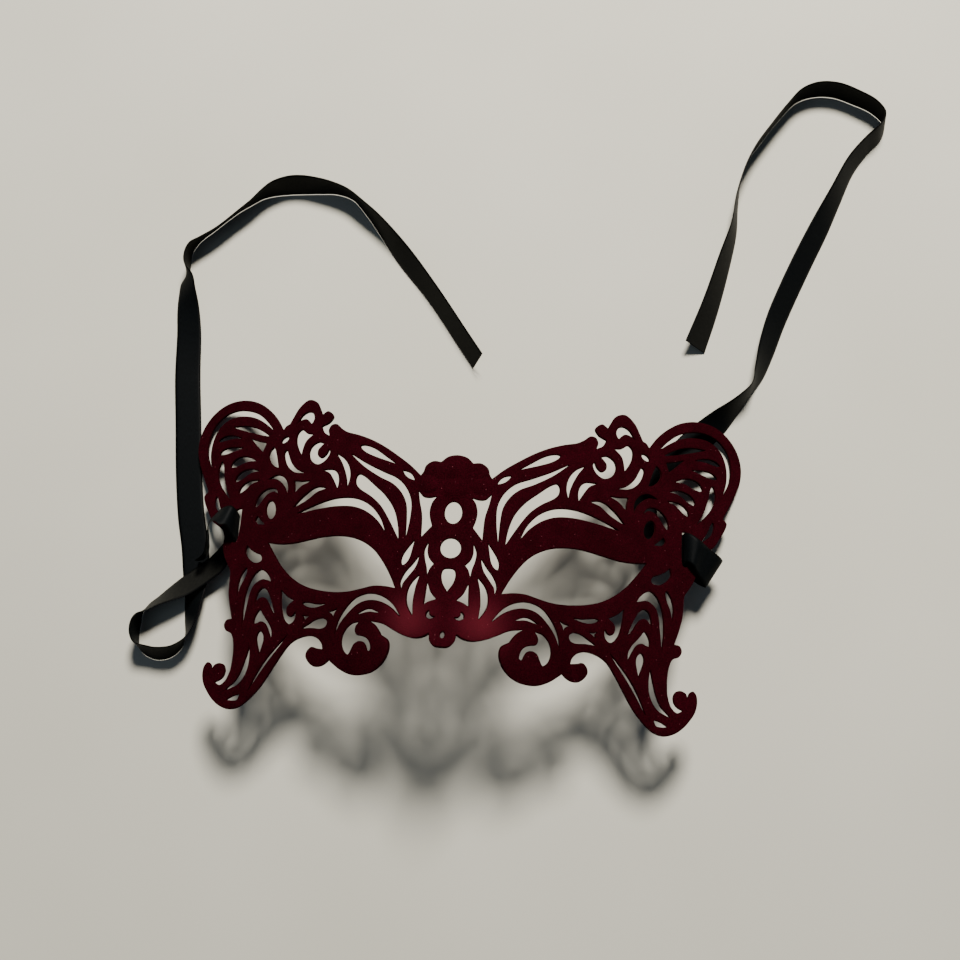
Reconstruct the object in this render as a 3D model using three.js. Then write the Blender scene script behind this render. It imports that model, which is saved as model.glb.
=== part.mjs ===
import * as THREE from 'three';

// Half mask of flocked plastic sheet with two satin ribbon ties, in millimetres, lying face up.
// +X runs across the mask towards its right side, +Y towards the forehead, +Z out of the face.
// Outlines are drawn flat, for the right half, from the inner corner of the eye (y = 0),
// and are then laid on the moulded relief.

const SHEET = 1.0; // thickness of the sheet with its flock
const LONGEST_EDGE = 7; // longest facet edge on the moulded sheet
const OUTLINE_STEPS = 1; // facets between two outline points
const PATTERN_CENTRE_Y = 17.8; // middle of the mask's height, over the eye's inner corner
const LEFT_SIDE_RISE = 1.2; // the left side rests on its tie, so it lies this much higher
const MASK_WIDTH = 205;

const RIBBON_WIDTH = 10;
const RIBBON_THICKNESS = 0.4;
const RIBBON_STEPS = 3; // facets between two points of a ribbon's route
const FLOOR_GAP = 0.1; // keeps the ribbons' undersides off the surface
const LOWEST_EDGE = FLOOR_GAP + RIBBON_THICKNESS / 2;

// ---- moulded relief -----------------------------------------------------------------------

// Height of the sheet at x across and y up the face: a dish that falls to the temples, a nose
// ridge, and temples that turn up a little.
function relief(x, y) {
  const X = x / 100;
  const Y = y / 100;
  const dish = 42.3 - 64.3 * X ** 2 + 28.4 * X ** 4;
  const rise = 5.4 * Y - 25.4 * Y ** 2 + 8.4 * Y ** 3;
  const temples = X ** 2 * Y * (34.4 * Y - 30.4);
  const nose = 21.7 * Math.exp(-((x / 14) ** 2) - ((y + 36) / 26) ** 2);
  return dish + rise + temples + nose;
}

function reliefNormal(x, y) {
  const d = 0.05;
  const slopeX = (relief(x + d, y) - relief(x - d, y)) / (2 * d);
  const slopeY = (relief(x, y + d) - relief(x, y - d)) / (2 * d);
  return new THREE.Vector3(-slopeX, -slopeY, 1).normalize();
}

// ---- flat outlines ------------------------------------------------------------------------

const spline = (points, isClosed) =>
  new THREE.CatmullRomCurve3(points.map(([x, y]) => new THREE.Vector3(x, y, 0)), isClosed, 'centripetal');

const flat = (points) => points.map((p) => [p.x, p.y]);

// Smooth closed outline through points; a third value of 1 marks a sharp corner.
function loop(points) {
  const first = points.findIndex((p) => p[2] === 1);
  if (first < 0) {
    return flat(spline(points, true).getPoints(points.length * OUTLINE_STEPS)).slice(0, -1);
  }
  const ring = [...points.slice(first), ...points.slice(0, first), points[first]];
  const outline = [];
  let run = [ring[0]];
  for (const point of ring.slice(1)) {
    run.push(point);
    if (point[2] === 1) {
      outline.push(...flat(spline(run, false).getPoints((run.length - 1) * OUTLINE_STEPS)).slice(0, -1));
      run = [point];
    }
  }
  return outline;
}

// Tapered cut along a spine. A leaf comes to a point at both ends, a drop is round at its far end.
const LEAF = (t) => Math.sin(Math.PI * t) ** 0.9;
const DROP = (t) => Math.sin(Math.PI * t ** 1.9) ** 0.6;

function slit(spine, width, taper = LEAF) {
  const curve = spline(spine, false);
  const steps = Math.max(4, Math.round(curve.getLength() / 3.2));
  const left = [];
  const right = [];
  for (let i = 1; i < steps; i += 1) {
    const t = i / steps;
    const p = curve.getPointAt(t);
    const along = curve.getTangentAt(t);
    const half = (width / 2) * taper(t);
    left.push([p.x - along.y * half, p.y + along.x * half]);
    right.push([p.x + along.y * half, p.y - along.x * half]);
  }
  return [spine[0], ...left, spine[spine.length - 1], ...right.reverse()];
}

function ellipse(x, y, halfWidth, halfHeight, tilt = 0) {
  const curve = new THREE.EllipseCurve(x, y, halfWidth, halfHeight, 0, 2 * Math.PI, false, tilt);
  return flat(curve.getPoints(14)).slice(0, -1);
}

// Right half of the outer edge, from the top of the flower down to the tip of the nose.
const FLOWER_EDGE = [[0, 45.5], [3.2, 44.8], [5.4, 42.8, 1], [8, 43], [10.4, 41.4], [11, 39.3],
  [11.8, 38, 1]];
const BROW_EDGE = [[15.5, 41.5], [20, 45], [25, 48.6], [30, 51.6], [35.2, 54], [40, 55.8], [42.6, 57.6],
  [44.7, 59.5]];
const KNOB_EDGE = [[46.6, 59.3], [47.5, 57.4], [46.9, 55.2, 1], [49.3, 56.9], [50.5, 59.2, 1],
  [47.7, 60.3], [46.3, 62.6], [48.8, 65.2], [51, 64, 1]];
const CURL_EDGE = [[52.2, 66.6], [54.2, 69.8], [57.5, 71.1], [61, 68.6], [63.1, 64.8], [64.2, 62.5, 1],
  [65.6, 61.9], [66.7, 60.4, 1]];
const TEMPLE_EDGE = [[70.2, 65.6], [74.3, 69.9], [79, 73.3], [84.6, 75.3], [90, 75.4], [94.5, 73.9],
  [98.6, 70.6], [101.6, 65.8], [103, 60.3], [102.7, 55], [101.2, 50.6], [98.4, 44.6], [95.3, 38.8, 1],
  [96.7, 37.2], [95.8, 34.3], [93.5, 30.5], [91.3, 27.2], [88.7, 25.3], [86, 23.3], [84.7, 20.5],
  [84.4, 17], [83.2, 13.5], [81.3, 10.3], [79.5, 7.6], [79, 4]];
const CHEEK_EDGE = [[78.6, 0], [77.3, -4.6], [75.5, -9.6, 1], [77.4, -10], [78.1, -11.8], [77.1, -13.7],
  [74.9, -14.7], [73.8, -16.6], [73, -20], [72.8, -24], [73.1, -27.6], [74.3, -30.6], [76.2, -32.1],
  [78, -31.3, 1], [76.6, -30.7], [75.3, -29.5], [74.8, -27.3], [75.7, -25.4], [77.5, -24.8],
  [79.3, -25.6], [79.8, -27, 1], [80.5, -25.3], [81.8, -24.6], [82.9, -25.9], [83.1, -28.5],
  [82.3, -31.5], [80.7, -34], [78.2, -36.8], [75.2, -38.9], [71.5, -39.9], [68, -39], [64.5, -36.2],
  [60.9, -32], [57.8, -27], [54.7, -22], [51.8, -18.2], [48.5, -16.3], [44.7, -15.6], [42, -16.4],
  [40.5, -18], [40, -19.7, 1]];
const SCROLL_EDGE = [[42.4, -19.4], [44, -19], [45.4, -20.2], [45.8, -22], [44.6, -24], [42.5, -25.3],
  [40.3, -25.2], [38.6, -24.3], [37.4, -23.2, 1], [36, -24.3], [33.5, -26], [30, -27.4], [26.8, -27.6],
  [23, -26.7], [20.1, -24.7], [18.2, -22], [17.4, -19], [17.9, -16.6], [20.4, -14.9, 1], [21.4, -13.3],
  [22.7, -11.8], [24.4, -10.7, 1]];
const NOSE_EDGE = [[20, -11.6], [16.6, -13.4], [13, -15.2], [8.9, -16.3], [6, -15.8], [4.3, -14.8, 1],
  [3.9, -17.2], [2.4, -18.8], [0, -19.1]];

const RIGHT_EDGE = [...FLOWER_EDGE, ...BROW_EDGE, ...KNOB_EDGE, ...CURL_EDGE, ...TEMPLE_EDGE, ...CHEEK_EDGE,
  ...SCROLL_EDGE, ...NOSE_EDGE];

const mirrored = (points) => points.map(([x, y, ...corner]) => [-x, y, ...corner]).reverse();
const OUTER_EDGE = loop([...RIGHT_EDGE, ...mirrored(RIGHT_EDGE.slice(1, -1))]);

const EYE = loop([[17.1, 0, 1], [19, 3.8], [21.9, 8.4], [25.2, 12.3], [29.2, 15.1], [33.5, 16.8],
  [38.6, 17.6], [44, 17.5], [50, 16.7], [55.5, 16], [60.5, 16.1], [65.5, 16.9, 1], [62.8, 13.2],
  [59.2, 8.6], [55, 4.6], [50, 1.5], [44.5, -0.3], [38.5, -1.2], [33, -1.1], [28.5, -0.2], [24.5, 0.7],
  [20.5, 0.6]]);

const RIBBON_SLOT = loop([[79.3, 30.9], [81.3, 30.7], [81.7, 29.8], [81.2, 19.2], [80.5, 18.2],
  [79.2, 18.4], [78.8, 19.4], [79, 29.8]]);

const BROW_CUTS = [
  slit([[22.3, 18.8], [24.7, 22.8], [28.8, 26.7], [33.8, 29], [40.3, 29.6], [47.3, 28.7], [55.2, 26.8]],
    2.8),
  loop([[17.4, 16, 1], [18, 20.5], [19.8, 26], [23.2, 30.8], [27.3, 34.6], [31.8, 38.4], [33.6, 39.1],
    [34.4, 38], [34.2, 35.8], [32.7, 34], [28.3, 31], [24.8, 27.8], [21.8, 23.5]]),
  slit([[37.2, 46.8], [31.7, 42.5], [25.3, 38.6], [20.3, 36], [17, 32.6], [15.1, 28.5], [14.7, 23.5],
    [15, 16.5]], 2.2),
  slit([[20.8, 42.3], [25.3, 44.8], [29.3, 47.1], [34.2, 49.7]], 2.4, DROP),
  slit([[13.8, 36.3], [15.8, 38], [18, 39.6]], 1.6),
  slit([[37.5, 34.6], [37.4, 38], [38.3, 41.5], [40.2, 44.8], [42.7, 47.4]], 1.9),
  loop([[41, 34.4, 1], [40.8, 37.3], [41.6, 40], [43.4, 41.6], [47.3, 42.1, 1], [45.1, 40.9],
    [43.5, 38.8], [42, 36.2]]),
  slit([[45.3, 35.1], [49, 34.9], [52.6, 32.6], [57.4, 29.2]], 2.3),
  loop([[51.8, 38.5, 1], [55.2, 38.7], [58.6, 39.3, 1], [58.1, 36.7], [57.9, 34.5, 1], [55.4, 37]]),
];

const CURL_CUTS = [
  loop([[48.6, 52.3, 1], [50.9, 53.1], [53.4, 51.8], [54.1, 49.4], [52.9, 46.4], [49.7, 44.6], [46.9, 46],
    [45.7, 48.6], [46.3, 49.9, 1], [47.2, 47.9], [48.9, 46.8], [50.4, 48], [50.6, 50.1], [49.7, 51.3]]),
  loop([[57.3, 49, 1], [56.9, 52], [56.1, 54.4], [53.5, 56.7, 1], [56, 57.3], [58.7, 59.2], [60.2, 57.8],
    [60.2, 54.8], [59, 51.8]]),
  loop([[55, 61.1], [54.1, 62.8], [54.8, 65], [56.8, 66], [59.1, 65.1], [61.2, 61.9, 1], [59.5, 63.2],
    [57.4, 63.4], [56.1, 62.3]]),
  ellipse(65.2, 56.2, 1.6, 1, -0.45),
  loop([[55, 41.9, 1], [58.3, 43.7], [61.1, 46.8], [62.7, 50], [63.8, 51.9], [64.6, 51.2], [64, 48.2],
    [62.2, 45.2], [59, 42.8]]),
  loop([[66.2, 45.5, 1], [67.3, 49], [68.4, 52], [69.4, 54.1, 1], [70.8, 52.8], [71.3, 50.8],
    [70.1, 48.2], [68.2, 46.4]]),
];

const TEMPLE_CUTS = [
  loop([[73.2, 56.2, 1], [76.5, 57.3], [80.3, 58.8, 1], [77, 55.3], [74.3, 52.8, 1]]),
  slit([[72.7, 59], [76, 60.6], [80, 62.4], [84.5, 63.8], [89, 64.7]], 2.1),
  slit([[84.7, 59.7], [88, 60.5], [91.5, 60.4], [94.7, 59.4]], 1.8, DROP),
  slit([[83.3, 55.7], [87, 55.5], [90.5, 55], [93.3, 54]], 2.3, DROP),
  slit([[76.7, 49.6], [80.5, 50.6], [84, 50.2], [87.4, 48.4]], 3.3, DROP),
  slit([[74.5, 45.3], [78.2, 45.6], [81.6, 44.4], [84.4, 42.2]], 2.9, DROP),
  slit([[73.5, 41.4], [77.2, 41], [80, 39.2], [81.7, 37.3]], 2.3, DROP),
  slit([[71.2, 61.2], [74.5, 64.5], [78.5, 67.6], [83, 69.5], [88.5, 70.1], [93, 68.6], [96.3, 65.2],
    [98, 60], [97.8, 54], [95.7, 48]], 2.4),
  slit([[84.9, 34.8], [87.6, 38.3], [90, 42.5], [91.3, 46.5], [91.6, 50.8]], 2.6, DROP),
  slit([[85.8, 27.8], [88.2, 30.2], [90.2, 33], [91.3, 36.6]], 1.8, DROP),
  slit([[60.8, 34.4], [61.7, 37.8], [63.8, 40.5], [66.4, 41.8], [69.6, 41.3]], 1.9),
  slit([[64.3, 34.5], [66.1, 36.7], [69, 36.7], [71.5, 34.8], [73.6, 30.7]], 2.5, DROP),
  ellipse(66.6, 29.3, 2, 3.5, -0.3),
  loop([[68.3, 24, 1], [70, 25.6], [71.8, 27.4, 1], [72.6, 26], [71.4, 24.6]]),
  loop([[67.1, 11], [68, 10.2], [70.5, 10.3], [73, 12], [74.6, 14.4], [74.1, 16.7, 1], [72.3, 14.9],
    [69.8, 13.5], [67.8, 12.6]]),
];

const NOSE_CUTS = [
  slit([[11.9, 15.8], [13.4, 12.3], [15.3, 7.5]], 2.3, DROP),
  slit([[10, 10.4], [11.4, 7.3], [13.6, 4.3], [15, 1.6], [14.9, -0.4]], 1.6),
  slit([[9.4, 4.2], [11.3, 0.3], [11.8, -4.2], [10.5, -8.9]], 2.3),
  loop([[5.8, 30.6, 1], [8.1, 30.1], [10.2, 30.4], [12, 32.3, 1], [11.4, 29], [10.3, 24.5],
    [9.9, 16.8, 1], [6.7, 20.6, 1], [7.6, 23.5], [7.8, 26], [7.1, 28.8]]),
  loop([[7.3, 15, 1], [8.3, 12.5], [8.1, 9.8], [7.3, 7], [6.9, 4.4, 1], [6.2, 6.5], [5.1, 8, 1],
    [6.7, 9.8], [7.4, 12]]),
  loop([[6.6, 1.9, 1], [6.8, -1.4], [7.1, -5.3, 1], [5.4, -4.3], [3.2, -3.6, 1], [5.2, -1.4]]),
  loop([[2.9, -9.4, 1], [4.4, -10.1], [5.8, -9.4], [5.9, -8.1], [5, -7.3, 1], [4.9, -8.6], [4.2, -9.2]]),
];

const CHEEK_CUTS = [
  slit([[14.6, -9.1], [17.8, -5.6], [21.5, -3.5], [25.4, -2.9], [29.3, -4.1], [32.7, -7.4], [35.1, -11.3],
    [36.2, -15]], 2),
  slit([[22, -7.9], [25.2, -7.2], [28.9, -8.4]], 0.8),
  loop([[28.2, -10.9, 1], [30.9, -11.8], [33, -14.3], [33.6, -17.4], [32.7, -20.1], [31.2, -21.2],
    [30.2, -19.6], [29.4, -17.9], [27.8, -16.9], [26.1, -17.3], [25.2, -18.5], [24.5, -20], [23.7, -19.7],
    [23.9, -17.9], [25, -16.2], [26.8, -15.4], [28.7, -15], [29.4, -13.6], [29.1, -12.1]]),
  loop([[35.9, -6.5, 1], [37.3, -7.4], [39, -7.8, 1], [37.9, -8.5], [37.4, -9.6, 1], [36.9, -8]]),
  slit([[40.4, -5.3], [44.5, -5.7], [48.8, -4.9]], 1.4, DROP),
  loop([[45.8, -9.2, 1], [47.2, -9.2], [48.4, -8.8, 1], [47.8, -9.6], [47.9, -10.8, 1], [47, -9.8]]),
  loop([[48, -13.1, 1], [44.8, -12.9], [41.2, -13.1], [39.6, -12.3], [39.3, -10.8], [40.7, -9.9],
    [43.5, -10.4], [46, -11.9]]),
  loop([[57.5, -0.2, 1], [57.3, -2.6], [56.7, -6], [55.8, -8.9], [54.4, -10.9], [53, -11.6],
    [51.5, -10.7], [50.9, -8.7], [51.2, -7.6, 1], [51.8, -8.7], [53, -9.3], [54.2, -8.5], [54.6, -7.1],
    [54.3, -5.5], [52.3, -3.8, 1], [54.8, -2.5]]),
  loop([[58.9, -8.6, 1], [59.9, -5.9], [61.6, -2.3], [63.2, 0], [64.6, 0.8], [66.1, 0.1], [67, -1.9],
    [67.2, -4.7, 1], [66.4, -3.2], [65, -2.3], [63.4, -2.7], [61.9, -4.5], [60.5, -6.8]]),
  loop([[59.1, -16.7, 1], [59.2, -14.4], [60.4, -11.9], [62.2, -9.8], [63.6, -8.1], [64.8, -6.7],
    [65.9, -8], [66.6, -9.8], [66.6, -11.4, 1], [65.2, -11.1], [64, -10.6], [62.5, -11.1], [61.1, -12.9],
    [60, -15]]),
  loop([[62, 3.1, 1], [63.3, 5.1], [65.3, 6.8], [66.9, 7.3], [68.9, 6], [70.3, 3.7], [71.3, 0.5],
    [71.7, -5], [70.9, -12.7, 1], [70.3, -5], [69.8, -0.8], [68.8, 1.9], [67.3, 3.3], [65.6, 4],
    [63.7, 3.6]]),
  slit([[74.6, -2], [74.7, 1.8], [73.8, 5], [72.6, 8.3]], 1.9, DROP),
  slit([[62.9, -21.8], [63.2, -17.5], [63.7, -14]], 2.7, DROP),
  slit([[66.9, -19], [67.1, -23], [67.9, -27.3], [69.8, -30.9], [73.6, -33.7]], 2),
  slit([[53, -15.2], [56.3, -19.2], [59.3, -23], [62.5, -28], [65.4, -33.6]], 0.9),
  loop([[68.3, -34.9, 1], [69, -36.6], [70.8, -37], [72.7, -36.8, 1], [70.5, -35.6]]),
];

const CENTRE_CUTS = [
  ellipse(0, 25.3, 2.8, 3.7),
  ellipse(0, 13.4, 3.3, 3.25),
  loop([[0, -0.9, 1], [1.7, 2], [2.2, 4.8], [1.6, 6.3], [0, 6.6], [-1.6, 6.3], [-2.2, 4.8], [-1.7, 2]]),
  ellipse(0, -15.2, 0.7, 1.1),
];

const RIGHT_CUTS = [EYE, RIBBON_SLOT, ...BROW_CUTS, ...CURL_CUTS, ...TEMPLE_CUTS, ...NOSE_CUTS,
  ...CHEEK_CUTS];

// ---- moulded sheet ------------------------------------------------------------------------

// Splits every edge longer than the limit at its middle, with its neighbours, until none is left.
function refine(points, triangles, limit) {
  const middles = new Map();
  const middle = (a, b) => {
    const key = a < b ? `${a},${b}` : `${b},${a}`;
    if (!middles.has(key)) {
      const [p, q] = [points[a], points[b]];
      const isLong = Math.hypot(p[0] - q[0], p[1] - q[1]) > limit;
      middles.set(key, isLong ? points.push([(p[0] + q[0]) / 2, (p[1] + q[1]) / 2]) - 1 : -1);
    }
    return middles.get(key);
  };
  let open = triangles;
  const done = [];
  while (open.length > 0) {
    const next = [];
    for (const [a, b, c] of open) {
      const [ab, bc, ca] = [middle(a, b), middle(b, c), middle(c, a)];
      const cuts = [ab, bc, ca].filter((m) => m >= 0).length;
      if (cuts === 0) done.push([a, b, c]);
      if (cuts === 3) next.push([a, ab, ca], [ab, b, bc], [ca, bc, c], [ab, bc, ca]);
      if (cuts === 1 && ab >= 0) next.push([a, ab, c], [ab, b, c]);
      if (cuts === 1 && bc >= 0) next.push([b, bc, a], [bc, c, a]);
      if (cuts === 1 && ca >= 0) next.push([c, ca, b], [ca, a, b]);
      if (cuts === 2 && ab < 0) next.push([c, ca, bc], [a, b, bc], [a, bc, ca]);
      if (cuts === 2 && bc < 0) next.push([a, ab, ca], [b, c, ca], [b, ca, ab]);
      if (cuts === 2 && ca < 0) next.push([b, bc, ab], [c, a, ab], [c, ab, bc]);
    }
    open = next;
  }
  return done;
}

// True where d lies inside the circle through a, b and c.
function isInCircle(a, b, c, d) {
  const [ax, ay, bx, by, cx, cy] = [a, b, c].flatMap((p) => [p[0] - d[0], p[1] - d[1]]);
  const [aa, bb, cc] = [ax * ax + ay * ay, bx * bx + by * by, cx * cx + cy * cy];
  return ax * (by * cc - bb * cy) - ay * (bx * cc - bb * cx) + aa * (bx * cy - by * cx) > 1e-9;
}

// Swaps the shared edge of two triangles wherever that makes them less slender.
function relax(points, triangles) {
  const owner = new Map();
  const own = (i) => {
    const [a, b, c] = triangles[i];
    for (const edge of [`${a},${b}`, `${b},${c}`, `${c},${a}`]) owner.set(edge, i);
  };
  triangles.forEach((_, i) => own(i));
  const queue = [...owner.keys()];
  while (queue.length > 0) {
    const [a, b] = queue.pop().split(',').map(Number);
    const i = owner.get(`${a},${b}`);
    const j = owner.get(`${b},${a}`);
    if (i === undefined || j === undefined) continue;
    const c = triangles[i].find((v) => v !== a && v !== b);
    const d = triangles[j].find((v) => v !== a && v !== b);
    if (!isInCircle(points[a], points[b], points[c], points[d])) continue;
    owner.delete(`${a},${b}`);
    owner.delete(`${b},${a}`);
    triangles[i] = [a, d, c];
    triangles[j] = [d, b, c];
    own(i);
    own(j);
    queue.push(`${a},${d}`, `${d},${b}`, `${b},${c}`, `${c},${a}`);
  }
  return triangles;
}

function closedBody(vertices, triangles) {
  const geometry = new THREE.BufferGeometry();
  geometry.setAttribute('position', new THREE.Float32BufferAttribute(vertices.flat(), 3));
  geometry.setIndex(triangles.flat());
  geometry.computeVertexNormals();
  return geometry;
}

function sheetGeometry() {
  const toVectors = (outline) => outline.map(([x, y]) => new THREE.Vector2(x, y));
  const shape = new THREE.Shape(toVectors(OUTER_EDGE));
  for (const cut of [...CENTRE_CUTS, ...RIGHT_CUTS, ...RIGHT_CUTS.map(mirrored)]) {
    shape.holes.push(new THREE.Path(toVectors(cut)));
  }
  const plane = new THREE.ShapeGeometry(shape);
  const place = plane.attributes.position;
  const points = Array.from({ length: place.count }, (_, i) => [place.getX(i), place.getY(i)]);
  const corners = plane.index.array;
  const coarse = Array.from({ length: corners.length / 3 }, (_, i) => [...corners.slice(3 * i, 3 * i + 3)]);
  const face = relax(points, refine(points, relax(points, coarse), LONGEST_EDGE));

  const front = points.map(([x, y]) => [x, y, relief(x, y)]);
  const back = points.map(([x, y]) => {
    const inward = reliefNormal(x, y).multiplyScalar(-SHEET);
    return [x + inward.x, y + inward.y, relief(x, y) + inward.z];
  });
  const behind = (i) => i + points.length;
  const triangles = [...face, ...face.map(([a, b, c]) => [behind(a), behind(c), behind(b)])];
  const sides = face.flatMap(([a, b, c]) => [[a, b], [b, c], [c, a]]);
  const inner = new Set(sides.map(([a, b]) => `${b},${a}`));
  for (const [a, b] of sides.filter(([p, q]) => !inner.has(`${p},${q}`))) {
    triangles.push([a, behind(a), b], [b, behind(a), behind(b)]);
  }
  return closedBody([...front, ...back], triangles);
}

// ---- ribbons ------------------------------------------------------------------------------

// Satin strip between two edge lines, through rows of [left edge x, y, z, right edge x, y, z].
function strip(rows) {
  const edge = (at) => {
    const corners = rows.map((row) => new THREE.Vector3(...row.slice(at, at + 3)));
    const curve = new THREE.CatmullRomCurve3(corners, false, 'centripetal');
    const line = curve.getPoints((rows.length - 1) * RIBBON_STEPS);
    return line.map((p) => p.setZ(Math.max(p.z, LOWEST_EDGE)));
  };
  const left = edge(0);
  const right = edge(3);
  const middles = left.map((p, i) => p.clone().add(right[i]).multiplyScalar(0.5));
  const vertices = [];
  middles.forEach((middle, i) => {
    const ahead = middles[Math.min(i + 1, middles.length - 1)];
    const along = ahead.clone().sub(middles[Math.max(i - 1, 0)]);
    const out = along.cross(left[i].clone().sub(right[i])).normalize();
    for (const [p, side] of [[left[i], 1], [right[i], 1], [right[i], -1], [left[i], -1]]) {
      vertices.push(p.clone().addScaledVector(out, (side * RIBBON_THICKNESS) / 2).toArray());
    }
  });
  const triangles = [[0, 2, 1], [0, 3, 2]];
  const last = vertices.length - 4;
  for (let row = 0; row < last; row += 4) {
    for (let k = 0; k < 4; k += 1) {
      const next = (k + 1) % 4;
      triangles.push([row + k, row + next, row + 4 + k], [row + next, row + 4 + next, row + 4 + k]);
    }
  }
  triangles.push([last, last + 1, last + 2], [last, last + 2, last + 3]);
  return closedBody(vertices, triangles);
}

// Rows of a ribbon on the surface, from a route of [x, y, bank, lift]: bank is the angle in degrees
// between the ribbon and the surface (90 stands it on its edge), lift raises its lower edge.
function lyingRows(route) {
  const curve = spline(route, false);
  return route.map(([x, y, bank, lift = 0], i) => {
    const along = curve.getTangent(i / (route.length - 1));
    const angle = THREE.MathUtils.degToRad(bank);
    const across = (RIBBON_WIDTH / 2) * Math.cos(angle);
    const up = (RIBBON_WIDTH / 2) * Math.sin(angle);
    const z = LOWEST_EDGE + Math.abs(up) + lift;
    const [sx, sy] = [-along.y * across, along.x * across];
    return [x + sx, y + sy, z + up, x - sx, y - sy, z - up];
  });
}

const LEFT_TAIL = [[1.9, 96.9, 118], [-4, 105.3, 118], [-17.4, 124.5, 118], [-31.1, 141.9, 124],
  [-41.8, 155, 107], [-48.1, 161.8, 94], [-54.8, 168, 85], [-61.4, 170.6, 88], [-67.2, 171.4, 97],
  [-74.5, 171.8, 106], [-80.2, 171.3, 105], [-86.4, 169.4, 93], [-91, 166.8, 78], [-95.6, 162.7, 68],
  [-100.2, 158.7, 63], [-108.5, 150.3, 62], [-114.3, 145, 68], [-117.3, 141, 80], [-118, 136.1, 88],
  [-117.8, 131.4, 82], [-117.5, 127.8, 48], [-116.9, 122.2, 33], [-115.9, 115.5, 17],
  [-114.3, 105.6, 7], [-112.4, 88, 0], [-109.2, 68, 0], [-106, 48, 0], [-102.6, 31, 0], [-99.6, 20, 0],
  [-97.5, 10, 4], [-96.2, 2.5, 27], [-96, -2.5, 38], [-95.8, -9, 50], [-96.4, -14.4, 68],
  [-98.8, -18.6, 91], [-102.6, -20.8, 106], [-106.2, -21.4, 112]];

const LEFT_LOOP = [[-107.6, -21.3, 113], [-112.2, -19.9, 106], [-113.9, -18.4, 97], [-115.2, -14.5, 90],
  [-115.1, -10.5, 90], [-114.3, -7.6, 100], [-112.1, -5.3, 116], [-108.5, -2.5, 123],
  [-104.1, 0.5, 136, 0.5], [-99, 4, 150, 1], [-94, 8, 152, 1.2]];

// The left tie runs under the sheet's edge, comes up through the slot, turns over the bar and goes
// down its outside on edge, ending beneath the loop.
const LEFT_SLOT_TURN = [[-90.6, 5.1, 6.2, -96.2, 11.9, 1.6], [-86.4, 8.6, 6.7, -92, 15.4, 2],
  [-84.2, 11.6, 7.4, -86.8, 20.4, 5.2], [-81.8, 15.2, 8.2, -82.3, 25, 8.4],
  [-80.3, 18.4, 11.4, -80.5, 28.4, 11.6], [-80.1, 19.5, 15.4, -80.3, 29.5, 15],
  [-80.5, 20.2, 18.8, -80.5, 30, 17.8], [-82, 23, 21.6, -82, 31, 18.8],
  [-84, 23, 22.6, -84.8, 30.4, 18], [-86.3, 24.3, 22, -88.9, 28.2, 14.4],
  [-89.8, 24, 16.9, -92.9, 26.2, 8.2], [-91, 21.6, 14, -93.1, 22, 4.6], [-91.4, 17.8, 12.6, -93, 17.5, 3],
  [-92.2, 14.4, 11.6, -94.4, 14.4, 2.2], [-95.6, 12.2, 9, -97, 13.6, 1]];

// The right tie starts behind the sheet, passes under the bar, folds round it and drops through the slot.
const RIGHT_SLOT_FOLD = [[76.5, 18.6, 8.4, 76.5, 28, 8.4], [80, 17.6, 7.8, 81, 27.6, 7.8],
  [83, 15.6, 7.8, 86.5, 25.2, 7.4], [86.6, 13.2, 8.4, 92, 22.6, 8.2],
  [88, 12.4, 10.4, 93.8, 21.9, 10.4], [86.6, 13.5, 12.8, 92.4, 22.9, 13],
  [84.2, 15.9, 15.2, 88.2, 25.4, 15], [82.4, 18.4, 17.2, 84.2, 28, 17.4],
  [80.8, 19.4, 16.6, 81.2, 30, 16.6], [79.7, 19.8, 14.8, 79.8, 30.4, 14.8],
  [79.5, 19.8, 12.6, 79.6, 30.3, 12.6], [78, 20.4, 10.4, 78.4, 30.2, 10.4]];

const RIGHT_RUN = [[77, 25.4, 0, 9.9], [74.6, 25.8, 0, 9.6], [71, 28, 0, 8.4], [68, 32.4, 0, 6.8],
  [66.4, 38.6, 0, 4.6], [67.4, 45.6, 0, 2.4], [71.6, 52.6, 0, 1], [77, 60, 0, 0.2], [83.4, 67.2, 0]];

const RIGHT_TAIL = [[84.3, 68.2, 0], [90.4, 73.6, 11], [95, 77.6, 39], [99, 81.4, 58], [103, 85.7, 70],
  [106.6, 90.6, 77], [109.3, 97, 60], [112.4, 107, 44], [116.4, 119.5, 36], [121, 131, 34],
  [128, 147, 34], [135, 162, 38], [141, 175, 50], [148, 190, 60], [154.5, 199, 66], [160.3, 205.5, 70],
  [162.4, 211.5, 76], [158.4, 217.4, 82], [151, 221.8, 86], [143, 225, 88], [135, 225, 90],
  [128, 221.8, 89], [121.5, 214, 88], [115, 204.5, 88], [108.5, 194.2, 88], [104.4, 184, 92],
  [102, 171.5, 105], [100.6, 159, 113], [97, 145, 125], [91.4, 125, 136], [85.5, 107.5, 148]];

// ---- assembly -----------------------------------------------------------------------------

const FLOCK = new THREE.MeshStandardMaterial({ color: 0x4a0618, roughness: 1, metalness: 0 });
const SATIN = new THREE.MeshStandardMaterial({ color: 0x0b0c0e, roughness: 0.38, metalness: 0 });

const mask = new THREE.Group();

function add(name, geometry, material) {
  const mesh = new THREE.Mesh(geometry, material);
  mesh.name = name;
  mesh.position.y = -PATTERN_CENTRE_Y;
  mask.add(mesh);
  return mesh;
}

const sheet = add('mask_sheet', sheetGeometry(), FLOCK);
sheet.rotation.y = Math.atan(LEFT_SIDE_RISE / MASK_WIDTH);
sheet.updateMatrixWorld();
sheet.position.z = -new THREE.Box3().setFromObject(sheet, true).min.z;

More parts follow.
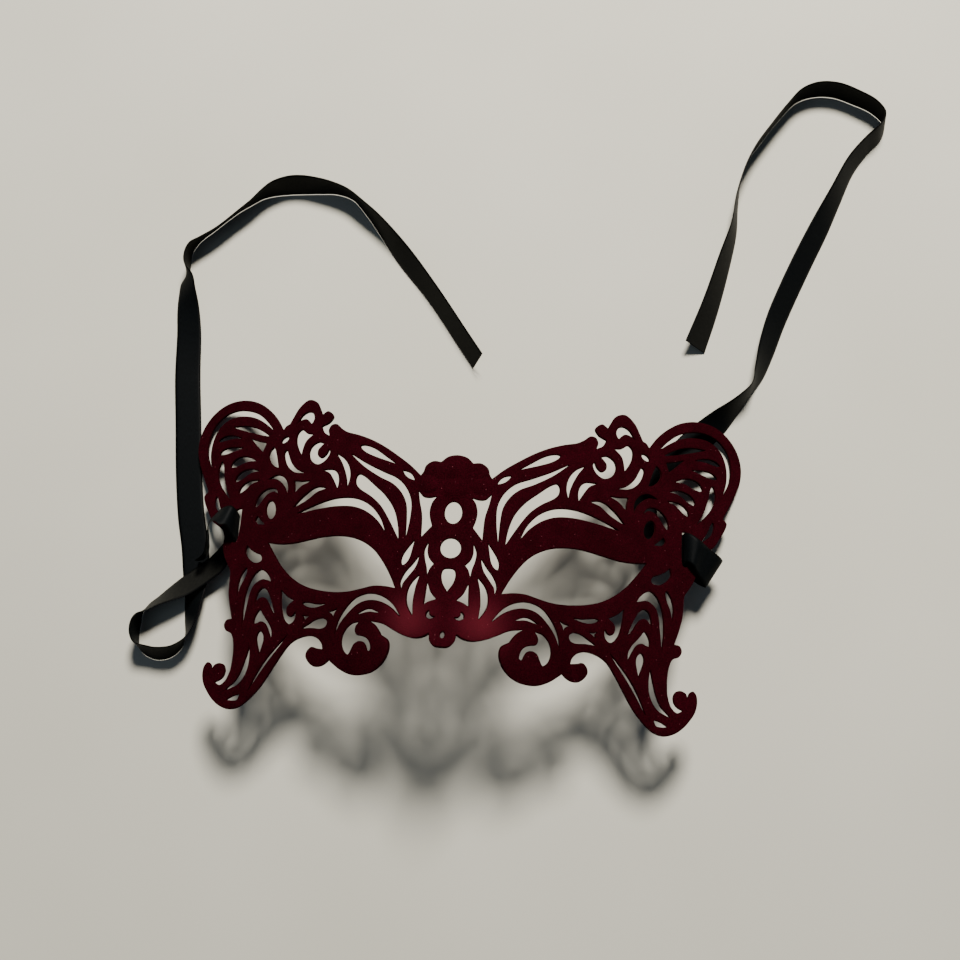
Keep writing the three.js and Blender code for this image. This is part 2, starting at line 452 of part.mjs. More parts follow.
const TIES = {
  left_tie_tail: lyingRows(LEFT_TAIL),
  left_tie_loop: lyingRows(LEFT_LOOP),
  left_tie_slot_turn: LEFT_SLOT_TURN,
  right_tie_slot_fold: RIGHT_SLOT_FOLD,
  right_tie_run: lyingRows(RIGHT_RUN),
  right_tie_tail: lyingRows(RIGHT_TAIL),
};
for (const [name, rows] of Object.entries(TIES)) {
  add(name, strip(rows), SATIN);
}

export default mask;
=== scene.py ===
"""Flocked filigree half mask with satin ribbon ties, lying face up on a pale floor.

The outlines and the ribbons' routes are in millimetres, drawn flat from the inner corner of the
eyes, and are the same as the CAD part's. Every object is placed in metres, in the part's frame.
"""

import math

import bpy
import numpy as np
from mathutils import Matrix, Vector, kdtree
from mathutils.geometry import delaunay_2d_cdt


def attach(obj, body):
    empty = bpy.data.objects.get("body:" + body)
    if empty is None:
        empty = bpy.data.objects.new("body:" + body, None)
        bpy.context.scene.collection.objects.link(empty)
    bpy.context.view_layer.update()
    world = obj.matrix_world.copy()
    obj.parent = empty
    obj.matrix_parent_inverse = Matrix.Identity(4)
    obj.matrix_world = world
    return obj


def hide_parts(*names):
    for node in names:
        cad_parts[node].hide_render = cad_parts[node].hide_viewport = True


MM = 0.001
PATTERN_CENTRE_Y = 17.8
SHEET = 1.0
LEFT_SIDE_RISE = 1.2
MASK_WIDTH = 205
RIBBON_WIDTH = 10
RIBBON_THICKNESS = 0.4
LOWEST_EDGE = 0.3  # height of the middle of a ribbon that lies flat

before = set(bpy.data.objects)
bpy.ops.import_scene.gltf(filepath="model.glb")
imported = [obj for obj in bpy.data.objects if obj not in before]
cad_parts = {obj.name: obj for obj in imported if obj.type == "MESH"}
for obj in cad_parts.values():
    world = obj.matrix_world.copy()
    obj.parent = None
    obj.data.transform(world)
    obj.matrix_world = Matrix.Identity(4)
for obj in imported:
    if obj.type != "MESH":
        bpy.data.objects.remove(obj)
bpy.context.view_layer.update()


# ---- moulded relief ----


def relief(x, y):
    """Height of the sheet's front at x across and y up the face."""
    across = x / 100
    up = y / 100
    dish = 42.3 - 64.3 * across**2 + 28.4 * across**4
    rise = 5.4 * up - 25.4 * up**2 + 8.4 * up**3
    temples = across**2 * up * (34.4 * up - 30.4)
    nose = 21.7 * np.exp(-((x / 14) ** 2) - ((y + 36) / 26) ** 2)
    return dish + rise + temples + nose


def relief_normal(x, y):
    d = 0.05
    slope_x = (relief(x + d, y) - relief(x - d, y)) / (2 * d)
    slope_y = (relief(x, y + d) - relief(x, y - d)) / (2 * d)
    n = np.stack([-slope_x, -slope_y, np.ones_like(slope_x)], axis=-1)
    return n / np.linalg.norm(n, axis=-1, keepdims=True)


# ---- flat outlines ----

CHORD = 0.6


def spline(points, is_closed=False, chord=CHORD, steps=None):
    """Centripetal Catmull-Rom curve through the points, as short chords."""
    p = np.array(points, float)
    n = len(p)
    if is_closed:
        ring = np.vstack([p[-1:], p, p[:2]])
        spans = n
    else:
        ring = np.vstack([2 * p[0] - p[1], p, 2 * p[-1] - p[-2]])
        spans = n - 1
    out = []
    for i in range(spans):
        p0, p1, p2, p3 = ring[i : i + 4]
        pairs = ((p0, p1), (p1, p2), (p2, p3))
        k0, k1, k2 = (max(np.linalg.norm(b - a), 1e-6) ** 0.5 for a, b in pairs)
        t1 = ((p1 - p0) / k0 - (p2 - p0) / (k0 + k1) + (p2 - p1) / k1) * k1
        t2 = ((p2 - p1) / k1 - (p3 - p1) / (k1 + k2) + (p3 - p2) / k2) * k1
        count = steps or max(2, math.ceil(np.linalg.norm(p2 - p1) / chord))
        t = (np.arange(count) / count)[:, None]
        square, cube = -3 * p1 + 3 * p2 - 2 * t1 - t2, 2 * p1 - 2 * p2 + t1 + t2
        out.append(p1 + t1 * t + square * t**2 + cube * t**3)
    if not is_closed:
        out.append(p[-1:])
    return np.vstack(out)


def loop(points):
    """Smooth closed outline through points; a third value of 1 marks a sharp corner."""
    corners = [i for i, p in enumerate(points) if len(p) == 3 and p[2] == 1]
    plain = [p[:2] for p in points]
    if not corners:
        return spline(plain, True)
    first = corners[0]
    ring = points[first:] + points[:first] + [points[first]]
    outline = []
    run = [ring[0][:2]]
    for p in ring[1:]:
        run.append(p[:2])
        if len(p) == 3 and p[2] == 1:
            outline.append(spline(run)[:-1])
            run = [p[:2]]
    return np.vstack(outline)


def leaf(t):
    """A leaf comes to a point at both ends."""
    return np.sin(np.pi * t) ** 0.9


def drop(t):
    """A drop is round at its far end."""
    return np.sin(np.pi * t**1.9) ** 0.6


def slit(spine, width, taper=leaf):
    """Tapered cut along a spine."""
    fine = spline(spine, steps=24)
    run = np.r_[0, np.cumsum(np.linalg.norm(np.diff(fine, axis=0), axis=1))]
    count = max(8, math.ceil(run[-1] / CHORD))
    t = (1 - np.cos(np.pi * np.arange(1, count) / count)) / 2
    middle = np.stack([np.interp(t * run[-1], run, fine[:, k]) for k in (0, 1)], axis=1)
    slopes = [np.gradient(fine[:, k], run) for k in (0, 1)]
    slope = np.stack([np.interp(t * run[-1], run, values) for values in slopes], axis=1)
    slope /= np.linalg.norm(slope, axis=1, keepdims=True)
    half = (width / 2 * taper(t))[:, None] * np.stack([-slope[:, 1], slope[:, 0]], axis=1)
    return np.vstack([fine[:1], middle + half, fine[-1:], (middle - half)[::-1]])


def ellipse(x, y, half_width, half_height, tilt=0.0):
    count = math.ceil(2 * np.pi * max(half_width, half_height) / CHORD) + 6
    t = 2 * np.pi * np.arange(count) / count
    u, v = half_width * np.cos(t), half_height * np.sin(t)
    cos, sin = math.cos(tilt), math.sin(tilt)
    return np.stack([x + u * cos - v * sin, y + u * sin + v * cos], 1)


def mirrored(points):
    return [[-p[0], *p[1:]] for p in points][::-1]


# Right half of the outer edge, from the top of the flower down to the tip of the nose.

FLOWER_EDGE = [[0, 45.5], [3.2, 44.8], [5.4, 42.8, 1], [8, 43], [10.4, 41.4], [11, 39.3],
  [11.8, 38, 1]]
BROW_EDGE = [[15.5, 41.5], [20, 45], [25, 48.6], [30, 51.6], [35.2, 54], [40, 55.8], [42.6, 57.6],
  [44.7, 59.5]]
KNOB_EDGE = [[46.6, 59.3], [47.5, 57.4], [46.9, 55.2, 1], [49.3, 56.9], [50.5, 59.2, 1],
  [47.7, 60.3], [46.3, 62.6], [48.8, 65.2], [51, 64, 1]]
CURL_EDGE = [[52.2, 66.6], [54.2, 69.8], [57.5, 71.1], [61, 68.6], [63.1, 64.8], [64.2, 62.5, 1],
  [65.6, 61.9], [66.7, 60.4, 1]]
TEMPLE_EDGE = [[70.2, 65.6], [74.3, 69.9], [79, 73.3], [84.6, 75.3], [90, 75.4], [94.5, 73.9],
  [98.6, 70.6], [101.6, 65.8], [103, 60.3], [102.7, 55], [101.2, 50.6], [98.4, 44.6],
  [95.3, 38.8, 1], [96.7, 37.2], [95.8, 34.3], [93.5, 30.5], [91.3, 27.2], [88.7, 25.3], [86, 23.3],
  [84.7, 20.5], [84.4, 17], [83.2, 13.5], [81.3, 10.3], [79.5, 7.6], [79, 4]]
CHEEK_EDGE = [[78.6, 0], [77.3, -4.6], [75.5, -9.6, 1], [77.4, -10], [78.1, -11.8], [77.1, -13.7],
  [74.9, -14.7], [73.8, -16.6], [73, -20], [72.8, -24], [73.1, -27.6], [74.3, -30.6], [76.2, -32.1],
  [78, -31.3, 1], [76.6, -30.7], [75.3, -29.5], [74.8, -27.3], [75.7, -25.4], [77.5, -24.8],
  [79.3, -25.6], [79.8, -27, 1], [80.5, -25.3], [81.8, -24.6], [82.9, -25.9], [83.1, -28.5],
  [82.3, -31.5], [80.7, -34], [78.2, -36.8], [75.2, -38.9], [71.5, -39.9], [68, -39], [64.5, -36.2],
  [60.9, -32], [57.8, -27], [54.7, -22], [51.8, -18.2], [48.5, -16.3], [44.7, -15.6], [42, -16.4],
  [40.5, -18], [40, -19.7, 1]]
SCROLL_EDGE = [[42.4, -19.4], [44, -19], [45.4, -20.2], [45.8, -22], [44.6, -24], [42.5, -25.3],
  [40.3, -25.2], [38.6, -24.3], [37.4, -23.2, 1], [36, -24.3], [33.5, -26], [30, -27.4],
  [26.8, -27.6], [23, -26.7], [20.1, -24.7], [18.2, -22], [17.4, -19], [17.9, -16.6],
  [20.4, -14.9, 1], [21.4, -13.3], [22.7, -11.8], [24.4, -10.7, 1]]
NOSE_EDGE = [[20, -11.6], [16.6, -13.4], [13, -15.2], [8.9, -16.3], [6, -15.8], [4.3, -14.8, 1],
  [3.9, -17.2], [2.4, -18.8], [0, -19.1]]

RIGHT_EDGE = [*FLOWER_EDGE, *BROW_EDGE, *KNOB_EDGE, *CURL_EDGE, *TEMPLE_EDGE, *CHEEK_EDGE,
  *SCROLL_EDGE, *NOSE_EDGE]

OUTER_EDGE = loop(RIGHT_EDGE + mirrored(RIGHT_EDGE[1:-1]))

# ---- cuts of the right half, and those on the centre line ----

EYE = loop([[17.1, 0, 1], [19, 3.8], [21.9, 8.4], [25.2, 12.3], [29.2, 15.1], [33.5, 16.8],
  [38.6, 17.6], [44, 17.5], [50, 16.7], [55.5, 16], [60.5, 16.1], [65.5, 16.9, 1], [62.8, 13.2],
  [59.2, 8.6], [55, 4.6], [50, 1.5], [44.5, -0.3], [38.5, -1.2], [33, -1.1], [28.5, -0.2],
  [24.5, 0.7], [20.5, 0.6]])

RIBBON_SLOT = loop([[79.3, 30.9], [81.3, 30.7], [81.7, 29.8], [81.2, 19.2], [80.5, 18.2],
  [79.2, 18.4], [78.8, 19.4], [79, 29.8]])

BROW_CUTS = [
  slit([[22.3, 18.8], [24.7, 22.8], [28.8, 26.7], [33.8, 29], [40.3, 29.6], [47.3, 28.7],
    [55.2, 26.8]], 2.8),
  loop([[17.4, 16, 1], [18, 20.5], [19.8, 26], [23.2, 30.8], [27.3, 34.6], [31.8, 38.4],
    [33.6, 39.1], [34.4, 38], [34.2, 35.8], [32.7, 34], [28.3, 31], [24.8, 27.8], [21.8, 23.5]]),
  slit([[37.2, 46.8], [31.7, 42.5], [25.3, 38.6], [20.3, 36], [17, 32.6], [15.1, 28.5],
    [14.7, 23.5], [15, 16.5]], 2.2),
  slit([[20.8, 42.3], [25.3, 44.8], [29.3, 47.1], [34.2, 49.7]], 2.4, drop),
  slit([[13.8, 36.3], [15.8, 38], [18, 39.6]], 1.6),
  slit([[37.5, 34.6], [37.4, 38], [38.3, 41.5], [40.2, 44.8], [42.7, 47.4]], 1.9),
  loop([[41, 34.4, 1], [40.8, 37.3], [41.6, 40], [43.4, 41.6], [47.3, 42.1, 1], [45.1, 40.9],
    [43.5, 38.8], [42, 36.2]]),
  slit([[45.3, 35.1], [49, 34.9], [52.6, 32.6], [57.4, 29.2]], 2.3),
  loop([[51.8, 38.5, 1], [55.2, 38.7], [58.6, 39.3, 1], [58.1, 36.7], [57.9, 34.5, 1], [55.4, 37]]),
]

CURL_CUTS = [
  loop([[48.6, 52.3, 1], [50.9, 53.1], [53.4, 51.8], [54.1, 49.4], [52.9, 46.4], [49.7, 44.6],
    [46.9, 46], [45.7, 48.6], [46.3, 49.9, 1], [47.2, 47.9], [48.9, 46.8], [50.4, 48], [50.6, 50.1],
    [49.7, 51.3]]),
  loop([[57.3, 49, 1], [56.9, 52], [56.1, 54.4], [53.5, 56.7, 1], [56, 57.3], [58.7, 59.2],
    [60.2, 57.8], [60.2, 54.8], [59, 51.8]]),
  loop([[55, 61.1], [54.1, 62.8], [54.8, 65], [56.8, 66], [59.1, 65.1], [61.2, 61.9, 1],
    [59.5, 63.2], [57.4, 63.4], [56.1, 62.3]]),
  ellipse(65.2, 56.2, 1.6, 1, -0.45),
  loop([[55, 41.9, 1], [58.3, 43.7], [61.1, 46.8], [62.7, 50], [63.8, 51.9], [64.6, 51.2],
    [64, 48.2], [62.2, 45.2], [59, 42.8]]),
  loop([[66.2, 45.5, 1], [67.3, 49], [68.4, 52], [69.4, 54.1, 1], [70.8, 52.8], [71.3, 50.8],
    [70.1, 48.2], [68.2, 46.4]]),
]

TEMPLE_CUTS = [
  loop([[73.2, 56.2, 1], [76.5, 57.3], [80.3, 58.8, 1], [77, 55.3], [74.3, 52.8, 1]]),
  slit([[72.7, 59], [76, 60.6], [80, 62.4], [84.5, 63.8], [89, 64.7]], 2.1),
  slit([[84.7, 59.7], [88, 60.5], [91.5, 60.4], [94.7, 59.4]], 1.8, drop),
  slit([[83.3, 55.7], [87, 55.5], [90.5, 55], [93.3, 54]], 2.3, drop),
  slit([[76.7, 49.6], [80.5, 50.6], [84, 50.2], [87.4, 48.4]], 3.3, drop),
  slit([[74.5, 45.3], [78.2, 45.6], [81.6, 44.4], [84.4, 42.2]], 2.9, drop),
  slit([[73.5, 41.4], [77.2, 41], [80, 39.2], [81.7, 37.3]], 2.3, drop),
  slit([[71.2, 61.2], [74.5, 64.5], [78.5, 67.6], [83, 69.5], [88.5, 70.1], [93, 68.6],
    [96.3, 65.2], [98, 60], [97.8, 54], [95.7, 48]], 2.4),
  slit([[84.9, 34.8], [87.6, 38.3], [90, 42.5], [91.3, 46.5], [91.6, 50.8]], 2.6, drop),
  slit([[85.8, 27.8], [88.2, 30.2], [90.2, 33], [91.3, 36.6]], 1.8, drop),
  slit([[60.8, 34.4], [61.7, 37.8], [63.8, 40.5], [66.4, 41.8], [69.6, 41.3]], 1.9),
  slit([[64.3, 34.5], [66.1, 36.7], [69, 36.7], [71.5, 34.8], [73.6, 30.7]], 2.5, drop),
  ellipse(66.6, 29.3, 2, 3.5, -0.3),
  loop([[68.3, 24, 1], [70, 25.6], [71.8, 27.4, 1], [72.6, 26], [71.4, 24.6]]),
  loop([[67.1, 11], [68, 10.2], [70.5, 10.3], [73, 12], [74.6, 14.4], [74.1, 16.7, 1], [72.3, 14.9],
    [69.8, 13.5], [67.8, 12.6]]),
]

NOSE_CUTS = [
  slit([[11.9, 15.8], [13.4, 12.3], [15.3, 7.5]], 2.3, drop),
  slit([[10, 10.4], [11.4, 7.3], [13.6, 4.3], [15, 1.6], [14.9, -0.4]], 1.6),
  slit([[9.4, 4.2], [11.3, 0.3], [11.8, -4.2], [10.5, -8.9]], 2.3),
  loop([[5.8, 30.6, 1], [8.1, 30.1], [10.2, 30.4], [12, 32.3, 1], [11.4, 29], [10.3, 24.5],
    [9.9, 16.8, 1], [6.7, 20.6, 1], [7.6, 23.5], [7.8, 26], [7.1, 28.8]]),
  loop([[7.3, 15, 1], [8.3, 12.5], [8.1, 9.8], [7.3, 7], [6.9, 4.4, 1], [6.2, 6.5], [5.1, 8, 1],
    [6.7, 9.8], [7.4, 12]]),
  loop([[6.6, 1.9, 1], [6.8, -1.4], [7.1, -5.3, 1], [5.4, -4.3], [3.2, -3.6, 1], [5.2, -1.4]]),
  loop([[2.9, -9.4, 1], [4.4, -10.1], [5.8, -9.4], [5.9, -8.1], [5, -7.3, 1], [4.9, -8.6],
    [4.2, -9.2]]),
]

CHEEK_CUTS = [
  slit([[14.6, -9.1], [17.8, -5.6], [21.5, -3.5], [25.4, -2.9], [29.3, -4.1], [32.7, -7.4],
    [35.1, -11.3], [36.2, -15]], 2),
  slit([[22, -7.9], [25.2, -7.2], [28.9, -8.4]], 0.8),
  loop([[28.2, -10.9, 1], [30.9, -11.8], [33, -14.3], [33.6, -17.4], [32.7, -20.1], [31.2, -21.2],
    [30.2, -19.6], [29.4, -17.9], [27.8, -16.9], [26.1, -17.3], [25.2, -18.5], [24.5, -20],
    [23.7, -19.7], [23.9, -17.9], [25, -16.2], [26.8, -15.4], [28.7, -15], [29.4, -13.6],
    [29.1, -12.1]]),
  loop([[35.9, -6.5, 1], [37.3, -7.4], [39, -7.8, 1], [37.9, -8.5], [37.4, -9.6, 1], [36.9, -8]]),
  slit([[40.4, -5.3], [44.5, -5.7], [48.8, -4.9]], 1.4, drop),
  loop([[45.8, -9.2, 1], [47.2, -9.2], [48.4, -8.8, 1], [47.8, -9.6], [47.9, -10.8, 1],
    [47, -9.8]]),
  loop([[48, -13.1, 1], [44.8, -12.9], [41.2, -13.1], [39.6, -12.3], [39.3, -10.8], [40.7, -9.9],
    [43.5, -10.4], [46, -11.9]]),
  loop([[57.5, -0.2, 1], [57.3, -2.6], [56.7, -6], [55.8, -8.9], [54.4, -10.9], [53, -11.6],
    [51.5, -10.7], [50.9, -8.7], [51.2, -7.6, 1], [51.8, -8.7], [53, -9.3], [54.2, -8.5],
    [54.6, -7.1], [54.3, -5.5], [52.3, -3.8, 1], [54.8, -2.5]]),
  loop([[58.9, -8.6, 1], [59.9, -5.9], [61.6, -2.3], [63.2, 0], [64.6, 0.8], [66.1, 0.1],
    [67, -1.9], [67.2, -4.7, 1], [66.4, -3.2], [65, -2.3], [63.4, -2.7], [61.9, -4.5],
    [60.5, -6.8]]),
  loop([[59.1, -16.7, 1], [59.2, -14.4], [60.4, -11.9], [62.2, -9.8], [63.6, -8.1], [64.8, -6.7],
    [65.9, -8], [66.6, -9.8], [66.6, -11.4, 1], [65.2, -11.1], [64, -10.6], [62.5, -11.1],
    [61.1, -12.9], [60, -15]]),
  loop([[62, 3.1, 1], [63.3, 5.1], [65.3, 6.8], [66.9, 7.3], [68.9, 6], [70.3, 3.7], [71.3, 0.5],
    [71.7, -5], [70.9, -12.7, 1], [70.3, -5], [69.8, -0.8], [68.8, 1.9], [67.3, 3.3], [65.6, 4],
    [63.7, 3.6]]),
  slit([[74.6, -2], [74.7, 1.8], [73.8, 5], [72.6, 8.3]], 1.9, drop),
  slit([[62.9, -21.8], [63.2, -17.5], [63.7, -14]], 2.7, drop),
  slit([[66.9, -19], [67.1, -23], [67.9, -27.3], [69.8, -30.9], [73.6, -33.7]], 2),
  slit([[53, -15.2], [56.3, -19.2], [59.3, -23], [62.5, -28], [65.4, -33.6]], 0.9),
  loop([[68.3, -34.9, 1], [69, -36.6], [70.8, -37], [72.7, -36.8, 1], [70.5, -35.6]]),
]

CENTRE_CUTS = [
  ellipse(0, 25.3, 2.8, 3.7),
  ellipse(0, 13.4, 3.3, 3.25),
  loop([[0, -0.9, 1], [1.7, 2], [2.2, 4.8], [1.6, 6.3], [0, 6.6], [-1.6, 6.3], [-2.2, 4.8],
    [-1.7, 2]]),
  ellipse(0, -15.2, 0.7, 1.1),
]

# ---- routes of the ties ----

# Along the floor a route is [x, y, bank, lift]. The bank is in degrees: 0 lies flat, 90 stands on
# edge with the left edge up, and more than 90 leans over to the right.
LEFT_TAIL = [[1.9, 96.9, 118], [-4, 105.3, 118], [-17.4, 124.5, 118], [-31.1, 141.9, 124],
  [-41.8, 155, 107], [-48.1, 161.8, 94], [-54.8, 168, 85], [-61.4, 170.6, 88], [-67.2, 171.4, 97],
  [-74.5, 171.8, 106], [-80.2, 171.3, 105], [-86.4, 169.4, 93], [-91, 166.8, 78],
  [-95.6, 162.7, 68], [-100.2, 158.7, 63], [-108.5, 150.3, 62], [-114.3, 145, 68],
  [-117.3, 141, 80], [-118, 136.1, 88], [-117.8, 131.4, 82], [-117.5, 127.8, 48],
  [-116.9, 122.2, 33], [-115.9, 115.5, 17], [-114.3, 105.6, 7], [-112.4, 88, 0], [-109.2, 68, 0],
  [-106, 48, 0], [-102.6, 31, 0], [-99.6, 20, 0], [-97.5, 10, 4], [-96.2, 2.5, 27], [-96, -2.5, 38],
  [-95.8, -9, 50], [-96.4, -14.4, 68], [-98.8, -18.6, 91], [-102.6, -20.8, 106],
  [-106.2, -21.4, 112]]

LEFT_LOOP = [[-107.6, -21.3, 113], [-112.2, -19.9, 106], [-113.9, -18.4, 97], [-115.2, -14.5, 90],
  [-115.1, -10.5, 90], [-114.3, -7.6, 100], [-112.1, -5.3, 116], [-108.5, -2.5, 123],
  [-104.1, 0.5, 136, 0.5], [-99, 4, 150, 1], [-94, 8, 152, 1.2]]

# At the slots a row is x, y, z of the left edge and then of the right one, with z in the frame.
# The left tie runs under the sheet's edge, comes up through the slot, turns over the bar and goes
# down its outside on edge, ending beneath the loop.
LEFT_SLOT_TURN = [[-90.6, 5.1, 6.2, -96.2, 11.9, 1.6], [-86.4, 8.6, 6.7, -92, 15.4, 2],
  [-84.2, 11.6, 7.4, -86.8, 20.4, 5.2], [-81.8, 15.2, 8.2, -82.3, 25, 8.4],
  [-80.3, 18.4, 11.4, -80.5, 28.4, 11.6], [-80.1, 19.5, 15.4, -80.3, 29.5, 15],
  [-80.5, 20.2, 18.8, -80.5, 30, 17.8], [-82, 23, 21.6, -82, 31, 18.8],
  [-84, 23, 22.6, -84.8, 30.4, 18], [-86.3, 24.3, 22, -88.9, 28.2, 14.4],
  [-89.8, 24, 16.9, -92.9, 26.2, 8.2], [-91, 21.6, 14, -93.1, 22, 4.6],
  [-91.4, 17.8, 12.6, -93, 17.5, 3], [-92.2, 14.4, 11.6, -94.4, 14.4, 2.2],
  [-95.6, 12.2, 9, -97, 13.6, 1]]

# The right tie starts behind the sheet, passes under the bar, folds round it and drops through
# the slot.
RIGHT_SLOT_FOLD = [[76.5, 18.6, 8.4, 76.5, 28, 8.4], [80, 17.6, 7.8, 81, 27.6, 7.8],
  [83, 15.6, 7.8, 86.5, 25.2, 7.4], [86.6, 13.2, 8.4, 92, 22.6, 8.2],
  [88, 12.4, 10.4, 93.8, 21.9, 10.4], [86.6, 13.5, 12.8, 92.4, 22.9, 13],
  [84.2, 15.9, 15.2, 88.2, 25.4, 15], [82.4, 18.4, 17.2, 84.2, 28, 17.4],
  [80.8, 19.4, 16.6, 81.2, 30, 16.6], [79.7, 19.8, 14.8, 79.8, 30.4, 14.8],
  [79.5, 19.8, 12.6, 79.6, 30.3, 12.6], [78, 20.4, 10.4, 78.4, 30.2, 10.4]]

RIGHT_RUN = [[77, 25.4, 0, 9.9], [74.6, 25.8, 0, 9.6], [71, 28, 0, 8.4], [68, 32.4, 0, 6.8],
  [66.4, 38.6, 0, 4.6], [67.4, 45.6, 0, 2.4], [71.6, 52.6, 0, 1], [77, 60, 0, 0.2], [83.4, 67.2, 0]]

RIGHT_TAIL = [[84.3, 68.2, 0], [90.4, 73.6, 11], [95, 77.6, 39], [99, 81.4, 58], [103, 85.7, 70],
  [106.6, 90.6, 77], [109.3, 97, 60], [112.4, 107, 44], [116.4, 119.5, 36], [121, 131, 34],
  [128, 147, 34], [135, 162, 38], [141, 175, 50], [148, 190, 60], [154.5, 199, 66],
  [160.3, 205.5, 70], [162.4, 211.5, 76], [158.4, 217.4, 82], [151, 221.8, 86], [143, 225, 88],
  [135, 225, 90], [128, 221.8, 89], [121.5, 214, 88], [115, 204.5, 88], [108.5, 194.2, 88],
  [104.4, 184, 92], [102, 171.5, 105], [100.6, 159, 113], [97, 145, 125], [91.4, 125, 136],
  [85.5, 107.5, 148]]

# ---- sheet ----

RIM = 0.28  # radius of the sheet's rounded rim
SEED_PITCH = 1.3  # spacing of the points inside the sheet's face
SEED_AREA = (-106, 106, -45, 80)  # left, right, bottom and top
SEED_CLEARANCE = 0.55  # share of the pitch kept free along the rim
FLOWER_PITCH = 0.45  # closer, for the small petals
FLOWER_AREA = (-12, 12, 31, 46)
PETALS = [(0, 40.6, 4.9), (7, 40, 3.5), (8.6, 35, 3.4), (0, 34, 4)]  # x, y and radius
PETAL_HEIGHT = 0.75
PAINTED_SHEEN_PLACE, PAINTED_SHEEN_SIZE = (12, -10.5), (7, 7.5)  # painted sheen on both sides of the nose, where the sloping pile catches the light


def signed_area(ring):
    x, y = ring[:, 0], ring[:, 1]
    return 0.5 * np.sum(x * np.roll(y, -1) - np.roll(x, -1) * y)


def inside(points, starts, ends):
    """True for the points inside the closed outlines, by counting crossings to the right."""
    order = np.argsort(points[:, 1])
    heights = points[order, 1]
    crossings = np.zeros(len(points), int)
    for (ax, ay), (bx, by) in zip(starts, ends):
        lo, hi = np.searchsorted(heights, sorted((ay, by)))
        if lo < hi:
            at = order[lo:hi]
            crossings[at] += points[at, 0] < ax + (points[at, 1] - ay) * (bx - ax) / (by - ay)
    return crossings % 2 == 1


def mesh_object(name, vertices, faces, materials, **attributes):
    mesh = bpy.data.meshes.new(name)
    mesh.from_pydata([tuple(v) for v in np.asarray(vertices) * MM], [], faces)
    for key, values in attributes.items():
        attribute = mesh.attributes.new(key, "FLOAT", "POINT")
        attribute.data.foreach_set("value", np.asarray(values, np.float32))
    for material in materials:
        mesh.materials.append(material)
    mesh.shade_smooth()
    piece = bpy.data.objects.new(name, mesh)
    bpy.context.collection.objects.link(piece)
    return piece


def hexagons(x0, x1, y0, y1, pitch):
    rows = enumerate(np.arange(y0, y1, pitch * 3**0.5 / 2))
    columns = np.arange(x0, x1, pitch)
    return np.array([(x + (k % 2) * pitch / 2, y) for k, y in rows for x in columns])


def petals(x, y):
    """Low domes pressed into the flower at the brow."""
    height = np.zeros_like(x)
    for px, py, radius in PETALS:
        far = ((np.abs(x) - px) ** 2 + (y - py) ** 2) / radius**2
        height = np.maximum(height, PETAL_HEIGHT * np.clip(1 - far, 0, 1) ** 0.7)
    return height


